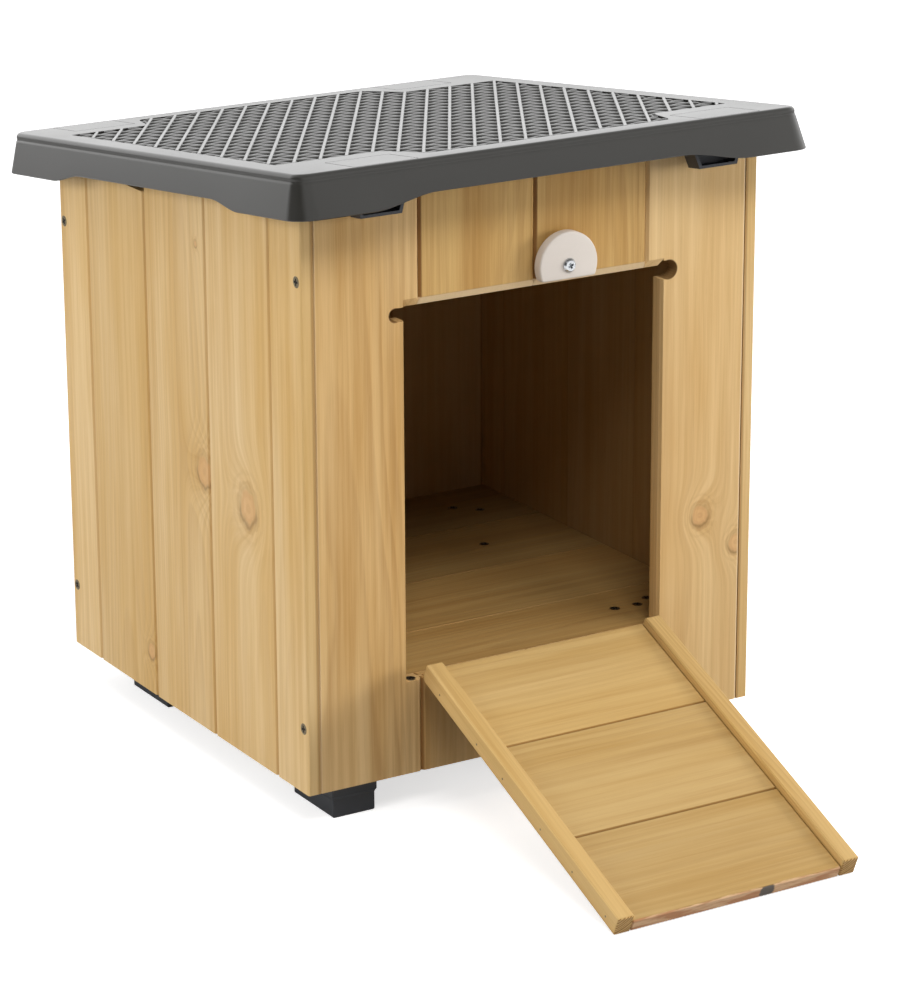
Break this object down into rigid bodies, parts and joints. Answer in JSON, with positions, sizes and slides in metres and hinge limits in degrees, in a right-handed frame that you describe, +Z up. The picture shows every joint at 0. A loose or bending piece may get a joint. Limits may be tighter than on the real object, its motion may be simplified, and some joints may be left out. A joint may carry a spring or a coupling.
{
  "type": "dog kennel",
  "caption": "Small outdoor pine dog kennel on feet with a sloping hinged plastic lid, a ramp that folds up as its door, and a turn button over the doorway.",
  "frame": {"origin": "on the ground, at the middle of the whole object's bounding box with the ramp let down", "axes": "+Z up; the doorway and the ramp face -Y; +X is the right side as seen by someone facing the doorway"},
  "size_m": [0.4478, 0.7284, 0.5152],
  "materials": {
    "pine_side": "planed softwood, unpainted, satin",
    "pine_front": "planed softwood, unpainted, satin",
    "pine_ramp": "planed softwood, unpainted, satin",
    "pine_floor": "planed softwood, unpainted, satin",
    "pine_rough": "sawn softwood, unpainted, dull",
    "lid_plastic": "moulded, fine satin",
    "black_plastic": "moulded, satin",
    "zinc_steel": "bright zinc plated",
    "button_plastic": "moulded, smooth satin"
  },
  "bodies": {
    "house": {"left_wall_board_1": "pine_side", "left_wall_board_2": "pine_side", "left_wall_board_3": "pine_side", "left_wall_board_4": "pine_side", "left_wall_board_5": "pine_side", "right_wall_board_1": "pine_side", "right_wall_board_2": "pine_side", "right_wall_board_3": "pine_side", "right_wall_board_4": "pine_side", "right_wall_board_5": "pine_side", "front_wall_board_left": "pine_front", "front_wall_board_right": "pine_front", "sill_board_left": "pine_front", "sill_board_right": "pine_front", "lintel_board_left": "pine_front", "lintel_board_right": "pine_front", "rear_wall_board_1": "pine_front", "rear_wall_board_2": "pine_front", "rear_wall_board_3": "pine_front", "rear_wall_board_4": "pine_front", "floor_board_1": "pine_floor", "floor_board_2": "pine_floor", "floor_board_3": "pine_floor", "floor_board_4": "pine_floor", "left_floor_bearer": "pine_rough", "right_floor_bearer": "pine_rough", "left_top_rail": "pine_rough", "right_top_rail": "pine_rough", "sill_rail": "pine_rough", "rear_bottom_rail": "pine_rough", "rear_top_rail": "pine_rough", "lintel_rail": "pine_rough", "front_left_foot": "black_plastic", "front_right_foot": "black_plastic", "rear_left_foot": "black_plastic", "rear_right_foot": "black_plastic", "hinge_bracket_left": "black_plastic", "hinge_bracket_right": "black_plastic", "lid_pin_left": "zinc_steel", "lid_pin_right": "zinc_steel", "sill_leaf_left": "zinc_steel", "sill_leaf_right": "zinc_steel", "ramp_pin_left": "zinc_steel", "ramp_pin_right": "zinc_steel", "button_washer": "zinc_steel", "button_screw": "zinc_steel"},
    "lid_body": {"lid": "lid_plastic", "front_catch_left": "black_plastic", "front_catch_right": "black_plastic", "hinge_arm_left": "black_plastic", "hinge_arm_right": "black_plastic"},
    "ramp": {"ramp_board_1": "pine_ramp", "ramp_board_2": "pine_ramp", "ramp_board_3": "pine_ramp", "ramp_rail_left": "pine_ramp", "ramp_rail_right": "pine_ramp", "ramp_leaf_left": "zinc_steel", "ramp_leaf_right": "zinc_steel"},
    "button": {"turn_button": "button_plastic"}
  },
  "joints": [
    {"name": "lid_hinge", "type": "hinge", "parent": "house", "child": "lid_body", "pos_m": [0, 0.3251, 0.434], "axis": [-1, 0, 0], "range_deg": [0, 95]},
    {"name": "ramp_hinge", "type": "hinge", "parent": "house", "child": "ramp", "pos_m": [0, -0.0913, 0.1078], "axis": [-1, 0, 0], "range_deg": [0, 112.5]},
    {"name": "button_turn", "type": "hinge", "parent": "house", "child": "button", "pos_m": [0.0212, -0.0964, 0.4144], "axis": [0, -1, 0], "continuous": true}
  ]
}
